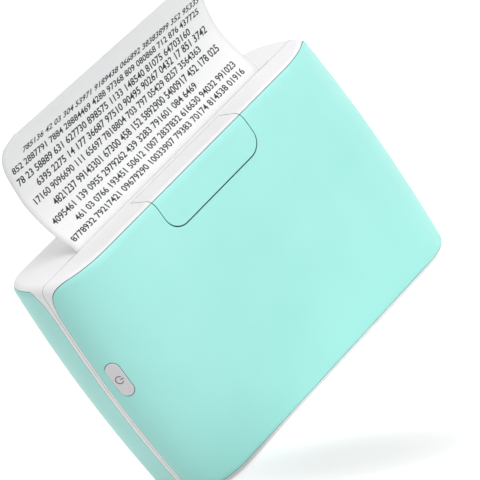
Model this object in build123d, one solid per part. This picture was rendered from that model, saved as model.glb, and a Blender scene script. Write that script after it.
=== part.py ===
"""Portable label printer: two moulded halves hinged along the bottom, with the paper bay, the feed
gears, the print head, the release tab and the power button inside and between them.

Units are millimetres. X runs to the viewer's right, Y runs to the back and Z runs up. The origin is
the centre of the footprint, on the surface that the printer stands on.
"""

import math
import os

from build123d import *

os.makedirs("parts", exist_ok=True)

# Paper and the parts beside it, which the case is wide enough to hold
PAPER_WIDTH = 107.0
PAPER_THICKNESS = 0.2
PAPER_OFFSET = 0.5
PAPER_HALF = PAPER_WIDTH / 2
BRACKET_X = PAPER_HALF + 1.1
BRACKET_WALL = 1.8
GEAR_X = BRACKET_X + BRACKET_WALL + 0.6
GEAR_WIDTH = 4.0
SIDE_ROOM = 16.0

# Outer case
CASE_WIDTH = 2 * (GEAR_X + GEAR_WIDTH + SIDE_ROOM)
CASE_HALF = CASE_WIDTH / 2
FRONT_DEPTH = 17.5
BACK_DEPTH = 32.0
CASE_TOP = 100.0
FOOT_PROUD = 0.25
SIDE_SAG = 2.4
FRONT_CORNER_WIDTH = 22.9
CORNER_CHANGE = 2.25
REAR_CORNER_WIDTH = 10.4
REAR_CORNER_DEPTH = 21.5
SIDE_TAPER = 0.05
CORNER_PULL = 0.56
TOP_ROUND = 3.6
BOTTOM_ROUND = 3.4

CASE_DEPTH = FRONT_DEPTH + BACK_DEPTH
FRONT_Y = -CASE_DEPTH / 2
BACK_Y = CASE_DEPTH / 2
SEAM_Y = FRONT_Y + FRONT_DEPTH
CASE_BASE = FOOT_PROUD
MID_Z = (CASE_TOP + CASE_BASE) / 2

# Walls and clearances
COVER_WALL = 1.6
COVER_FIT = 0.05
FRAME_WALL = 1.5
INNER_INSET = COVER_WALL + COVER_FIT + FRAME_WALL
COVER_LINE = 0.22
BODY_GAP = 0.3
RUN_CLEAR = 0.05
SEAT_FIT = 0.02
FUSE = 0.2

INNER_FRONT_Y = FRONT_Y + INNER_INSET
INNER_BACK_Y = BACK_Y - INNER_INSET
INNER_BASE_Z = CASE_BASE + INNER_INSET
INNER_TOP_Z = CASE_TOP - INNER_INSET

# Edges of the coloured covers, seen from the side
STRIP_FRONT = 1.7
STRIP_BACK = 2.5
FRONT_COVER_TOP = CASE_TOP - 1.0
BACK_COVER_TOP = CASE_TOP - 1.3
COVER_BOTTOM = CASE_BASE + 2.0
FRONT_FLARE_HEIGHT = 14.5
BACK_FLARE_HEIGHT = 17.4
FRONT_FLARE = 9.3
BACK_FLARE = 8.0
FOOT_FLARE_HEIGHT = 8.0
FOOT_FLARE = 2.2

# Hinge along the bottom edge of the seam
HINGE_RADIUS = 2.4
HINGE_PIN_RADIUS = 0.9
HINGE_PIN_REACH = CASE_HALF - 20.0
KNUCKLE_LENGTH = 12.0
KNUCKLE_STATIONS = (33.0 - CASE_HALF, 0.0, CASE_HALF - 33.0)
HINGE_Z = CASE_BASE + HINGE_RADIUS
SWING_ROOM = 2.5
SWING_Z = HINGE_Z - 1.5

# The paper's roll and the slot that it leaves by
ROLL_RADIUS = 13.5
ROLL_Z = 34.0
CORE_RADIUS = 8.0
CORE_BORE = 6.35
SLOT_LENGTH = PAPER_WIDTH + 10.5
SLOT_DEPTH = 0.9
PAPER_Y = SEAM_Y + PAPER_OFFSET
ROLL_Y = PAPER_Y + PAPER_THICKNESS / 2 + BODY_GAP + ROLL_RADIUS

# Platen roller, print head and feed gears
PLATEN_RADIUS = 5.0
PLATEN_Z = 88.0
SHAFT_RADIUS = 2.0
BUSH_WALL = 1.2
GEAR_MODULE = 0.5
PLATEN_TEETH = 20
IDLER_TEETH = 24
PINION_TEETH = 14
GEAR_PLAY = 0.1
TOOTH_PLAY = 0.14
PRESSURE_ANGLE = math.radians(20)
PLATEN_Y = PAPER_Y + PAPER_THICKNESS / 2 + BODY_GAP + PLATEN_RADIUS
GEAR_PLATE_X = GEAR_X - 1.5
GEAR_PLATE_WALL = 1.1
GEAR_POST_RADIUS = 1.2
MOTOR_RADIUS = 5.2
MOTOR_LENGTH = 17.0
MOTOR_SHAFT_RADIUS = 0.75
CERAMIC_WALL = 1.0
HEATSINK_WALL = 2.5
HEAD_Y = PAPER_Y - PAPER_THICKNESS / 2 - BODY_GAP
HEAD_LOW_Z = PLATEN_Z - 8.0
HEAD_HIGH_Z = PLATEN_Z + 5.0
HEAD_PIVOT_Z = HEAD_LOW_Z + 1.6
HEAD_PIVOT_Y = HEAD_Y - CERAMIC_WALL - HEATSINK_WALL / 2
HEAD_PIN_RADIUS = 0.6
HEAD_SPRING_STATIONS = (19.5 - PAPER_HALF, 0.0, PAPER_HALF - 19.5)
HEAD_SPRING_RADIUS = 1.9

# Release tab
TAB_WIDTH = 51.0
TAB_DROP = 15.3
TAB_CORNER = 6.7
TAB_BACK_Y = SEAM_Y - 3.4
TAB_SIDE_GAP = 0.3
TAB_LOW_GAP = 0.55
TAB_AXLE_Z = CASE_TOP - 7.0
TAB_AXLE_INSET = 5.45
TAB_AXLE_RADIUS = 0.8
TAB_AXLE_Y = FRONT_Y + TAB_AXLE_INSET
TAB_LOW_Z = CASE_TOP - TAB_DROP
TAB_HALF = TAB_WIDTH / 2
ARM_X = PAPER_HALF + 0.8
ARM_WALL = 2.0
ARM_Z = INNER_TOP_Z - 2.85
ARM_HEIGHT = 1.0
HOOK_DROP = 0.6
HOOK_Y = SEAM_Y + 4.05
HOOK_LENGTH = 0.9

# Power button and charging port, one on each curved flank
FLANK_SET = 8.2
BUTTON_Z = 57.0
BUTTON_WIDTH = 5.8
BUTTON_HEIGHT = 14.6
BUTTON_PROUD = 0.3
BUTTON_GAP = 0.25
BUTTON_TRAVEL = 0.4
BUTTON_POST_RISE = BUTTON_HEIGHT / 2 + 2.5
BUTTON_BOARD_HALF = BUTTON_HEIGHT / 2 + 4.2
FLANGE_LIP = 0.8
FLANGE_WALL = 0.7
SWITCH_SIZE = 4.5
SWITCH_HEIGHT = 1.5
SWITCH_STEM = 0.5
BOARD_WALL = 0.8
PORT_Z = 30.0
PORT_WIDTH = 3.26
PORT_HEIGHT = 8.94
PORT_DEPTH = 7.3
PORT_WALL = 0.33

# Electronics
BOSS_RADIUS = 2.8
PCB_WALL = 1.2
PCB_STAND = 1.0
PCB_BOX = (23.0 - CASE_HALF, CASE_HALF - 33.0, 8.0, 56.0)
BATTERY_BOX = (35.0 - CASE_HALF, CASE_HALF - 45.0, 8.0, 48.0)
BATTERY_WALL = 7.0
PANEL_WALL = 1.2
PANEL_Y = SEAM_Y - 2.15
PANEL_BOX = (14.0 - CASE_HALF, CASE_HALF - 14.0, 7.0, 76.5)
PANEL_POSTS = [(x, z) for x in (17.0 - CASE_HALF, CASE_HALF - 17.0) for z in (15.0, 52.0)]
PANEL_RIBS = [share * PAPER_WIDTH for share in (-0.42, -0.21, 0.0, 0.21, 0.42)]
SCREW_RADIUS = 0.9
SCREW_HEAD = 1.8

# Paper guides, their racks and pinion
GUIDE_WALL = 1.8
GUIDE_RADIUS = 11.0
GUIDE_TRAVEL = 8.0
GUIDE_X = PAPER_HALF + 0.7
HUB_LENGTH = 6.0
HUB_RADIUS = CORE_BORE - 0.35
RACK_Z = 9.0
RACK_HEIGHT = 3.0
RACK_DEPTH = 2.0
RACK_TEETH = 12
RACK_PITCH_RADIUS = GEAR_MODULE * RACK_TEETH / 2
RACK_REACH = 13.0
RAIL_WALL = 1.2
TROUGH_CLEAR = 0.8
TROUGH_WALL = 1.2
TROUGH_RIBS = (9.5 - PAPER_HALF, 0.0, PAPER_HALF - 9.5)
RAIL_HALF = PAPER_HALF - 3.5
RAIL_POST_X = PAPER_HALF - 23.5

FOOT_RADIUS = 3.2
FOOT_RECESS = 1.2
FOOT_X = CASE_HALF - 19.0
FRONT_FOOT_Y = FRONT_Y + 9.0
BACK_FOOT_Y = BACK_Y - 12.0


def block(x0, x1, y0, y1, z0, z1):
    """A box between two corners."""
    place = Pos((x0 + x1) / 2, (y0 + y1) / 2, (z0 + z1) / 2)
    return place * Box(abs(x1 - x0), abs(y1 - y0), abs(z1 - z0))


def x_rod(x0, x1, y, z, radius):
    """A cylinder along X."""
    return Pos((x0 + x1) / 2, y, z) * Rot(0, 90, 0) * Cylinder(radius, abs(x1 - x0))


def y_rod(y0, y1, x, z, radius):
    """A cylinder along Y."""
    return Pos(x, (y0 + y1) / 2, z) * Rot(90, 0, 0) * Cylinder(radius, abs(y1 - y0))


def z_rod(z0, z1, x, y, radius):
    """A cylinder along Z."""
    return Pos(x, y, (z0 + z1) / 2) * Cylinder(radius, abs(z1 - z0))


def side_prism(edges, x0, x1):
    """A solid with a side view drawn in (Y, Z), running along X."""
    face = Plane.YZ.offset(x0) * make_face(edges)
    return extrude(face, x1 - x0, dir=(1, 0, 0))


def both_sides(shape):
    """A shape with its mirror image across the middle."""
    return [shape, mirror(shape, about=Plane.YZ)]


def save(name, *solids):
    """Write one node, a single solid or a group of separate ones."""
    pieces = [solid for shape in solids for solid in shape.solids()]
    shape = pieces[0] if len(pieces) == 1 else Compound(children=pieces)
    export_step(shape, f"parts/{name}.step")


def flank_at(z):
    """Half the case's width at a height, and the width of its front corners, tightest at the bottom."""
    level = (z - MID_Z) / ((CASE_TOP - CASE_BASE) / 2)
    return CASE_HALF - SIDE_SAG * level**2, FRONT_CORNER_WIDTH + CORNER_CHANGE * level * (1 - level)


def case_section(z, inset):
    """The plan outline of the case at a height, drawn in from the outside by inset."""
    half, corner_width = flank_at(z)
    half -= inset
    front = FRONT_Y + inset
    back = BACK_Y - inset
    front_x = half - (corner_width - inset)
    side_end = back - (REAR_CORNER_DEPTH - inset)
    run = side_end - SEAM_Y
    end_x = half - SIDE_TAPER * run / 2
    tip_x = end_x - SIDE_TAPER * (back - side_end)
    back_x = tip_x - (REAR_CORNER_WIDTH - inset)

    def corner(start, tip, end):
        first = tuple(s + (t - s) * CORNER_PULL for s, t in zip(start, tip))
        last = tuple(e + (t - e) * CORNER_PULL for e, t in zip(end, tip))
        return start, first, last, end

    side_mid = SEAM_Y + run / 3
    right = [
        corner((front_x, front), (half, front), (half, SEAM_Y)),
        ((half, SEAM_Y), (half, side_mid), (end_x + SIDE_TAPER * run / 3, side_end - run / 3),
         (end_x, side_end)),
        corner((end_x, side_end), (tip_x, back), (back_x, back)),
    ]
    left = [tuple((-x, y) for x, y in reversed(curve)) for curve in reversed(right)]
    edges = [Line((-front_x, front), (front_x, front))]
    edges += [Bezier(*curve) for curve in right]
    edges.append(Line((back_x, back), (-back_x, back)))
    edges += [Bezier(*curve) for curve in left]
    return Pos(0, 0, z) * Wire(edges)


def case_body(inset):
    """The whole case as one smooth solid, smaller all round by inset."""
    low = CASE_BASE + inset
    high = CASE_TOP - inset
    body = Solid.make_loft([case_section(z, inset) for z in (low, (low + high) / 2, high)])
    top_round = max(TOP_ROUND - inset, 0.4)
    low_round = max(BOTTOM_ROUND - inset, 0.4)
    body = fillet(body.faces().sort_by(Axis.Z)[-1].edges(), top_round)
    return fillet(body.faces().sort_by(Axis.Z)[0].edges(), low_round)


def cover_region(direction, grow):
    """The side view that a coloured cover fills, on the front (-1) or the back (1), grown by grow."""
    strip = STRIP_FRONT if direction < 0 else STRIP_BACK
    flare = FRONT_FLARE if direction < 0 else BACK_FLARE
    flare_height = FRONT_FLARE_HEIGHT if direction < 0 else BACK_FLARE_HEIGHT
    top = FRONT_COVER_TOP if direction < 0 else BACK_COVER_TOP

    def at(distance, z):
        return (SEAM_Y + direction * distance, z)

    edge = strip - grow
    high = top + grow
    low = COVER_BOTTOM - grow
    outside = CASE_DEPTH
    flare_low = top - flare_height
    foot_high = COVER_BOTTOM + FOOT_FLARE_HEIGHT
    return [
        Line(at(outside, low), at(edge + FOOT_FLARE, low)),
        Bezier(at(edge + FOOT_FLARE, low), at(edge, low + 1.5), at(edge, foot_high)),
        Line(at(edge, foot_high), at(edge, flare_low)),
        Bezier(at(edge, flare_low), at(edge, high - flare_height / 3), at(edge + flare / 3, high),
               at(edge + flare, high)),
        Line(at(edge + flare, high), at(outside, high)),
        Line(at(outside, high), at(outside, low)),
    ]


def under_top(grow):
    """What lies under the flat of the case's top, which the covers leave to the white frames."""
    face = make_face(case_section(CASE_TOP, TOP_ROUND + grow).edges())
    return extrude(face, 2 * COVER_WALL, dir=(0, 0, -1))


def cover_zone(direction, grow):
    """The space that a coloured cover fills, grown by grow at its edges."""
    return side_prism(cover_region(direction, grow), -CASE_WIDTH, CASE_WIDTH) - under_top(grow)


def tab_prism(gap, low_gap):
    """The block of space that the release tab fills, wider by gap and deeper by low_gap."""
    half = TAB_HALF + gap
    low = TAB_LOW_Z - low_gap
    high = CASE_TOP + 5
    corner = TAB_CORNER + gap
    outline = [
        Line((-half, high), (-half, low + corner)),
        RadiusArc((-half, low + corner), (-half + corner, low), -corner),
        Line((-half + corner, low), (half - corner, low)),
        RadiusArc((half - corner, low), (half, low + corner), -corner),
        Line((half, low + corner), (half, high)),
        Line((half, high), (-half, high)),
    ]
    face = Plane.XZ.offset(-(FRONT_Y - 5)) * make_face(outline)
    front = extrude(face, INNER_FRONT_Y + 1.5 - (FRONT_Y - 5), dir=(0, 1, 0))
    top = block(-half, half, FRONT_Y - 5, TAB_BACK_Y + gap, INNER_TOP_Z - 1.0, high)
    return front + top


def flank_plane(side, z):
    """The plane that touches the curved flank, with its X along the case and its Z outwards."""
    half, corner_width = flank_at(z)
    rise = FLANK_SET / FRONT_DEPTH
    reach = math.sqrt(1 - rise**2)
    x = half - corner_width + corner_width * reach
    normal = Vector(side * reach / FRONT_CORNER_WIDTH, -rise / FRONT_DEPTH, 0).normalized()
    along = Vector(0, 0, 1).cross(normal)
    return Plane(origin=(side * x, SEAM_Y - FLANK_SET, z), x_dir=along, z_dir=normal)


def pill(plane, width, height, low, high):
    """An upright pill-shaped pin on a flank, from one depth to another."""
    radius = width / 2
    straight = height / 2 - radius
    outline = [
        Line((radius, -straight), (radius, straight)),
        RadiusArc((radius, straight), (-radius, straight), -radius),
        Line((-radius, straight), (-radius, -straight)),
        RadiusArc((-radius, -straight), (radius, -straight), -radius),
    ]
    face = plane.offset(low) * make_face(outline)
    return extrude(face, high - low, dir=plane.z_dir)


def flank_block(plane, x0, x1, y0, y1, low, high):
    """A box in a flank's own plane."""
    return plane * block(x0, x1, y0, y1, low, high)


def hinge_barrel(radius, x0=-CASE_WIDTH, x1=CASE_WIDTH):
    return x_rod(x0, x1, SEAM_Y, HINGE_Z, radius)


def involute_tooth(radius, teeth, play):
    """One tooth's outline as (radius, angle) pairs, from its left root to its right root."""
    base = radius * math.cos(PRESSURE_ANGLE)
    tip = radius + 0.9 * GEAR_MODULE
    root = radius - 1.25 * GEAR_MODULE
    spread = math.tan(PRESSURE_ANGLE) - PRESSURE_ANGLE
    half_angle = math.pi / (2 * teeth) - play / (2 * radius)
    flank = []
    for step in range(4):
        r = max(base, root) + (tip - max(base, root)) * step / 3
        roll = math.acos(min(1.0, base / r))
        flank.append((r, half_angle + spread - (math.tan(roll) - roll)))
    left = [(r, -angle) for r, angle in flank]
    right = [(r, angle) for r, angle in reversed(flank)]
    return [(root, left[0][1])] + left + right + [(root, right[-1][1])]


def gear_outline(teeth, phase, play=TOOTH_PLAY):
    """A spur gear's outline, with a tooth centred on the phase angle."""
    radius = GEAR_MODULE * teeth / 2
    points = []
    for index in range(teeth):
        centre = phase + 2 * math.pi * index / teeth
        for r, angle in involute_tooth(radius, teeth, play):
            points.append((r * math.cos(centre + angle), r * math.sin(centre + angle)))
    return make_face(Polyline(*points, close=True))


def feed_gear(teeth, phase, y, z, bore):
    """A feed gear lying across X, its hub facing the gear plate."""
    face = Plane.YZ.offset(GEAR_X) * Pos(y, z) * gear_outline(teeth, phase)
    gear = extrude(face, GEAR_WIDTH, dir=(1, 0, 0))
    return gear - x_rod(GEAR_X - 1, GEAR_X + GEAR_WIDTH + 1, y, z, bore)


def meshed_phase(phase, teeth, direction, other_teeth):
    """The phase of a gear that meshes with another one, seen from that one along direction."""
    pitch = 2 * math.pi / teeth
    other_pitch = 2 * math.pi / other_teeth
    offset = ((direction - phase) % pitch) / pitch
    return direction + math.pi + (offset + 0.5) * other_pitch


def gear_train():
    """Centre (y, z), teeth and phase of the platen gear, both idlers and the motor pinion."""
    platen_radius = GEAR_MODULE * PLATEN_TEETH / 2
    idler_radius = GEAR_MODULE * IDLER_TEETH / 2
    pinion_radius = GEAR_MODULE * PINION_TEETH / 2
    gears = [(PLATEN_Y, PLATEN_Z, PLATEN_TEETH, math.pi)]
    steps = [
        (math.pi, platen_radius + idler_radius + GEAR_PLAY, IDLER_TEETH),
        (math.radians(-92), 2 * idler_radius + GEAR_PLAY, IDLER_TEETH),
        (math.radians(-103), idler_radius + pinion_radius + GEAR_PLAY, PINION_TEETH),
    ]
    for direction, distance, teeth in steps:
        y, z, last_teeth, phase = gears[-1]
        place = (y + distance * math.cos(direction), z + distance * math.sin(direction))
        gears.append((*place, teeth, meshed_phase(phase, last_teeth, direction, teeth)))
    return gears


def screw(x, z, seat_y, depth, toward=1):
    """A pan head screw along Y whose head sits on seat_y."""
    head = y_rod(seat_y, seat_y + toward * 1.0, x, z, SCREW_HEAD)
    return head + y_rod(seat_y - toward * depth, seat_y + toward * 0.5, x, z, SCREW_RADIUS)


def screw_hole(x, z, seat_y, depth, toward=1):
    return y_rod(seat_y - toward * (depth + 0.3), seat_y + toward * 0.1, x, z, SCREW_RADIUS + SEAT_FIT)


OUTER = case_body(0)
UNDER_COVER = case_body(COVER_WALL)
OVER_FRAME = case_body(COVER_WALL + COVER_FIT)
INNER = case_body(INNER_INSET)
SKIN = OUTER - UNDER_COVER
SKIN_SPACE = OUTER - OVER_FRAME
SHELL = OUTER - INNER
FRONT_SIDE = block(-CASE_WIDTH, CASE_WIDTH, FRONT_Y - 5, SEAM_Y - BODY_GAP / 2, -5, CASE_TOP + 5)
BACK_SIDE = block(-CASE_WIDTH, CASE_WIDTH, SEAM_Y + BODY_GAP / 2, BACK_Y + 5, -5, CASE_TOP + 5)
FRONT_COVER_ZONE = cover_zone(-1, 0)
FRONT_COVER_SPACE = cover_zone(-1, COVER_LINE)
BACK_COVER_ZONE = cover_zone(1, 0)
BACK_COVER_SPACE = cover_zone(1, COVER_LINE)
BUTTON_PLANE = flank_plane(-1, BUTTON_Z)
PORT_PLANE = flank_plane(1, PORT_Z)
GEARS = gear_train()
HEAD_PLATE_Y = HEAD_Y - CERAMIC_WALL - HEATSINK_WALL - 3.6
HEAD_PLATE_WALL = 1.0
HEAD_BOSS_X = PAPER_HALF - 8.5
HEAD_BOSS_Z = HEAD_LOW_Z + 1.0
BAR_Z = TAB_LOW_Z + 1.8
BAR_HEIGHT = 3.0
BAR_Y = INNER_FRONT_Y + 1.2
BAR_WALL = 2.0


def front_openings():
    """What both front mouldings leave open: the tab, the button and the charging port."""
    tab = tab_prism(TAB_SIDE_GAP, TAB_LOW_GAP)
    button = pill(BUTTON_PLANE, BUTTON_WIDTH + 2 * BUTTON_GAP, BUTTON_HEIGHT + 2 * BUTTON_GAP, -5, 3)
    port = pill(PORT_PLANE, PORT_WIDTH + 0.6, PORT_HEIGHT + 0.6, -5, 3)
    return tab + button + port


def make_front_cover():
    return (SKIN & FRONT_COVER_ZONE) - front_openings()


def hinge_slots(clearance):
    """The gaps in the barrel where the lid's knuckles sit."""
    half = KNUCKLE_LENGTH / 2 + clearance
    slots = [hinge_barrel(HINGE_RADIUS + BODY_GAP, x - half, x + half) for x in KNUCKLE_STATIONS]
    return slots[0] + slots[1:]


def make_front_frame():
    """The white front moulding: its shell, the hinge barrel, the bosses and the axle ears."""
    barrel = (OUTER & hinge_barrel(HINGE_RADIUS)) - hinge_slots(BODY_GAP)
    frame = (SHELL & FRONT_SIDE) - (SKIN_SPACE & FRONT_COVER_SPACE)
    frame = (frame - hinge_slots(BODY_GAP)) + barrel
    wall = INNER_FRONT_Y - FUSE
    posts = [y_rod(wall, PANEL_Y, x, z, BOSS_RADIUS) for x, z in PANEL_POSTS]
    posts += [y_rod(wall, HEAD_PLATE_Y, s * HEAD_BOSS_X, HEAD_BOSS_Z, BOSS_RADIUS) for s in (-1, 1)]
    x0, x1, z0, z1 = PCB_BOX
    stand = INNER_FRONT_Y + PCB_STAND
    posts += [y_rod(wall, stand, x, z, BOSS_RADIUS) for x in (x0 + 4, x1 - 4) for z in (z0 + 4, z1 - 4)]
    posts.append(y_rod(wall, stand, GEAR_PLATE_X - 4, HEAD_LOW_Z, BOSS_RADIUS))
    for side in (-1, 1):
        ear_x = side * (TAB_HALF + 2.0)
        ear = block(ear_x - 1.0, ear_x + 1.0, wall, TAB_AXLE_Y + 1.6, TAB_AXLE_Z - 1.8, TAB_AXLE_Z + 1.8)
        posts.append(ear)
    depth = -(INNER_INSET - FUSE)
    board_depth = button_board_depth()
    for rise in (-BUTTON_POST_RISE, BUTTON_POST_RISE):
        post = Pos(0, rise, 0) * Cylinder(1.2, board_depth + depth)
        posts.append(BUTTON_PLANE * Pos(0, 0, depth - (board_depth + depth) / 2) * post)
    frame = frame + [post & OVER_FRAME & FRONT_SIDE for post in posts]
    frame = frame - front_openings()
    frame = frame - x_rod(-TAB_HALF - 3, TAB_HALF + 3, TAB_AXLE_Y, TAB_AXLE_Z, TAB_AXLE_RADIUS + SEAT_FIT)
    frame = frame - x_rod(-HINGE_PIN_REACH, HINGE_PIN_REACH, SEAM_Y, HINGE_Z, HINGE_PIN_RADIUS + SEAT_FIT)
    frame = frame - [screw_hole(x, z, PANEL_Y, 6.0) for x, z in PANEL_POSTS]
    frame = frame - [foot_pad(side * FOOT_X, FRONT_FOOT_Y, RUN_CLEAR) for side in (-1, 1)]
    return frame - tear_bar_space()


def button_board_depth():
    """How far the button's board lies inside the flank."""
    flange = INNER_INSET + 0.85
    return flange + FLANGE_WALL + BUTTON_TRAVEL + BODY_GAP + SWITCH_STEM + SWITCH_HEIGHT


def tear_bar_space():
    return block(-PAPER_HALF - 0.05, PAPER_HALF + 0.05, SEAM_Y - 0.85, SEAM_Y, CASE_TOP - 4.1, CASE_TOP - 0.95)


def make_tear_bar():
    return block(-PAPER_HALF, PAPER_HALF, SEAM_Y - 0.8, SEAM_Y - 0.35, CASE_TOP - 4.0, CASE_TOP - 1.0)


def make_power_button():
    flange_top = -(INNER_INSET + 0.85)
    cap = pill(BUTTON_PLANE, BUTTON_WIDTH, BUTTON_HEIGHT, flange_top - FLANGE_WALL / 2, BUTTON_PROUD)
    rim = cap.faces().sort_by(Axis(BUTTON_PLANE.origin, BUTTON_PLANE.z_dir))[-1].edges()
    cap = fillet(rim, 0.25)
    lip = 2 * FLANGE_LIP
    flange = pill(BUTTON_PLANE, BUTTON_WIDTH + lip, BUTTON_HEIGHT + lip, flange_top - FLANGE_WALL, flange_top)
    return cap + flange


def make_button_board():
    depth = button_board_depth()
    return flank_block(BUTTON_PLANE, -3.0, 3.0, -BUTTON_BOARD_HALF, BUTTON_BOARD_HALF,
                       -depth - BOARD_WALL, -depth)


def make_button_switch():
    depth = button_board_depth()
    half = SWITCH_SIZE / 2
    body = flank_block(BUTTON_PLANE, -half, half, -half, half, -depth, -depth + SWITCH_HEIGHT)
    stem = BUTTON_PLANE * Pos(0, 0, -depth + SWITCH_HEIGHT + SWITCH_STEM / 2) * Cylinder(1.1, SWITCH_STEM)
    return body + stem


def make_usb_port():
    """A metal shell with its tongue, set back a little from the flank."""
    front = -0.5
    back = front - PORT_DEPTH
    wall = 2 * PORT_WALL
    shell = pill(PORT_PLANE, PORT_WIDTH, PORT_HEIGHT, back, front)
    shell = shell - pill(PORT_PLANE, PORT_WIDTH - wall, PORT_HEIGHT - wall, back + 1.0, front + 1)
    tongue = flank_block(PORT_PLANE, -0.35, 0.35, -3.3, 3.3, back + 0.5, front - 1.2)
    return shell + tongue


def make_usb_board():
    seat = -PORT_WIDTH / 2
    low = -(PORT_DEPTH + 3.0)
    return flank_block(PORT_PLANE, seat - BOARD_WALL, seat, -8.0, 8.0, low, -(INNER_INSET + 0.5))


def make_main_pcb():
    x0, x1, z0, z1 = PCB_BOX
    face_y = INNER_FRONT_Y + PCB_STAND
    return block(x0, x1, face_y, face_y + PCB_WALL, z0, z1)


def make_board_components():
    """The processor, the driver chips and the connectors soldered to the board."""
    face_y = INNER_FRONT_Y + PCB_STAND + PCB_WALL
    sizes = [(-30, 20, 12, 12, 1.4), (-10, 34, 8, 8, 1.2), (12, 24, 10, 7, 1.5), (-44, 51, 9, 5, 1.8),
             (34, 51, 9, 5, 1.8), (0, 51.5, 14, 4, 1.8)]
    return [block(x - w / 2, x + w / 2, face_y, face_y + t, z - h / 2, z + h / 2) for x, z, w, h, t in sizes]


def make_battery():
    x0, x1, z0, z1 = BATTERY_BOX
    back = PANEL_Y - 0.6
    cell = block(x0, x1, back - BATTERY_WALL, back, z0, z1)
    return fillet(cell.edges().filter_by(Axis.X), 1.5)


def make_battery_pad():
    x0, x1, z0, z1 = BATTERY_BOX
    return block(x0 + 6, x1 - 6, PANEL_Y - 0.6, PANEL_Y, z0 + 5, z1 - 5)


def make_inner_panel():
    x0, x1, z0, z1 = PANEL_BOX
    panel = block(x0, x1, PANEL_Y, PANEL_Y + PANEL_WALL, z0, z1)
    panel = fillet(panel.edges().filter_by(Axis.Y), 3.0)
    ribs = [block(x - 0.5, x + 0.5, PANEL_Y + PANEL_WALL - FUSE, PANEL_Y + PANEL_WALL + 0.4, z0 + 6, z1 - 6)
            for x in PANEL_RIBS]
    _, gear_z, teeth, _ = GEARS[2]
    window_z = gear_z - GEAR_MODULE * (teeth / 2 + 1) - 1.0
    panel = panel + ribs - block(GEAR_PLATE_X - 0.5, x1 + 1, PANEL_Y - 1, SEAM_Y, window_z, z1 + 1)
    return panel - [screw_hole(x, z, PANEL_Y + PANEL_WALL, 6.0) for x, z in PANEL_POSTS]


def make_paper_sensor():
    seat = PANEL_Y + PANEL_WALL
    top = PANEL_BOX[3]
    return block(-14.0, -8.0, seat, seat + 0.6, top - 6.0, top - 2.0)


def make_motor():
    y, z, _, _ = GEARS[3]
    can = x_rod(GEAR_PLATE_X - MOTOR_LENGTH, GEAR_PLATE_X, y, z, MOTOR_RADIUS)
    lugs = block(GEAR_PLATE_X - 0.8, GEAR_PLATE_X, y - 2, y + 2, z - 8.5, z + 8.5)
    return can + lugs - x_rod(GEAR_PLATE_X - 8.2, GEAR_X, y, z, MOTOR_SHAFT_RADIUS + RUN_CLEAR)


def make_motor_shaft():
    y, z, _, _ = GEARS[3]
    return x_rod(GEAR_PLATE_X - 8.0, GEAR_X + GEAR_WIDTH + 0.4, y, z, MOTOR_SHAFT_RADIUS)


def make_gear_plate():
    """A steel plate with the idlers' posts, screwed to the front moulding by a bent foot."""
    low = GEARS[3][1] - 9.0
    front = GEARS[3][0] - 3.0
    back = PANEL_Y - 0.4
    high = GEARS[1][1] + 3.5
    plate = block(GEAR_PLATE_X, GEAR_PLATE_X + GEAR_PLATE_WALL, front, back, low, high)
    foot_y = INNER_FRONT_Y + PCB_STAND
    z0, z1 = HEAD_LOW_Z - 4, HEAD_LOW_Z + 4
    foot = block(GEAR_PLATE_X - 7, GEAR_PLATE_X + GEAR_PLATE_WALL, foot_y, foot_y + 1.0, z0, z1)
    web = block(GEAR_PLATE_X, GEAR_PLATE_X + GEAR_PLATE_WALL, foot_y, front + FUSE, z0, z1)
    plate = plate + foot + web
    for y, z, _, _ in GEARS[1:3]:
        plate = plate + x_rod(GEAR_PLATE_X, GEAR_X + GEAR_WIDTH + 0.6, y, z, GEAR_POST_RADIUS)
        plate = plate + x_rod(GEAR_PLATE_X, GEAR_X - 0.2, y, z, GEAR_POST_RADIUS + 1.0)
    y, z, _, _ = GEARS[3]
    return plate - x_rod(GEAR_PLATE_X - 1, GEAR_X, y, z, 1.8)


def make_heatsink():
    y1 = HEAD_Y - CERAMIC_WALL
    sink = block(-PAPER_HALF, PAPER_HALF, y1 - HEATSINK_WALL, y1, HEAD_LOW_Z, HEAD_HIGH_Z)
    return sink - x_rod(-CASE_HALF, CASE_HALF, HEAD_PIVOT_Y, HEAD_PIVOT_Z, HEAD_PIN_RADIUS + SEAT_FIT)


def make_head_ceramic():
    y1 = HEAD_Y
    return block(-PAPER_HALF + 0.5, PAPER_HALF - 0.5, y1 - CERAMIC_WALL, y1, HEAD_LOW_Z + 3, HEAD_HIGH_Z - 1)


def make_head_pin():
    reach = GEAR_PLATE_X - BODY_GAP
    return x_rod(-reach, reach, HEAD_PIVOT_Y, HEAD_PIVOT_Z, HEAD_PIN_RADIUS)


def make_head_support():
    """The steel bracket behind the print head, with a cheek at each end for the pivot pin."""
    back = HEAD_PLATE_Y + HEAD_PLATE_WALL
    reach = GEAR_PLATE_X
    plate = block(-reach, reach, HEAD_PLATE_Y, back, HEAD_LOW_Z - 2, HEAD_HIGH_Z - 0.6)
    cheek = block(reach - 1.3, reach, HEAD_PLATE_Y, HEAD_PIVOT_Y + 1.2, HEAD_LOW_Z - 0.5, HEAD_LOW_Z + 4)
    bracket = plate + both_sides(cheek)
    return bracket - x_rod(-CASE_HALF, CASE_HALF, HEAD_PIVOT_Y, HEAD_PIVOT_Z, HEAD_PIN_RADIUS + RUN_CLEAR)


def make_head_springs():
    y0 = HEAD_PLATE_Y + HEAD_PLATE_WALL
    y1 = HEAD_Y - CERAMIC_WALL - HEATSINK_WALL - 0.6
    outside, inside = HEAD_SPRING_RADIUS, HEAD_SPRING_RADIUS - 0.6
    return [y_rod(y0, y1, x, PLATEN_Z, outside) - y_rod(y0 - 1, y1 + 1, x, PLATEN_Z, inside)
            for x in HEAD_SPRING_STATIONS]


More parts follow.
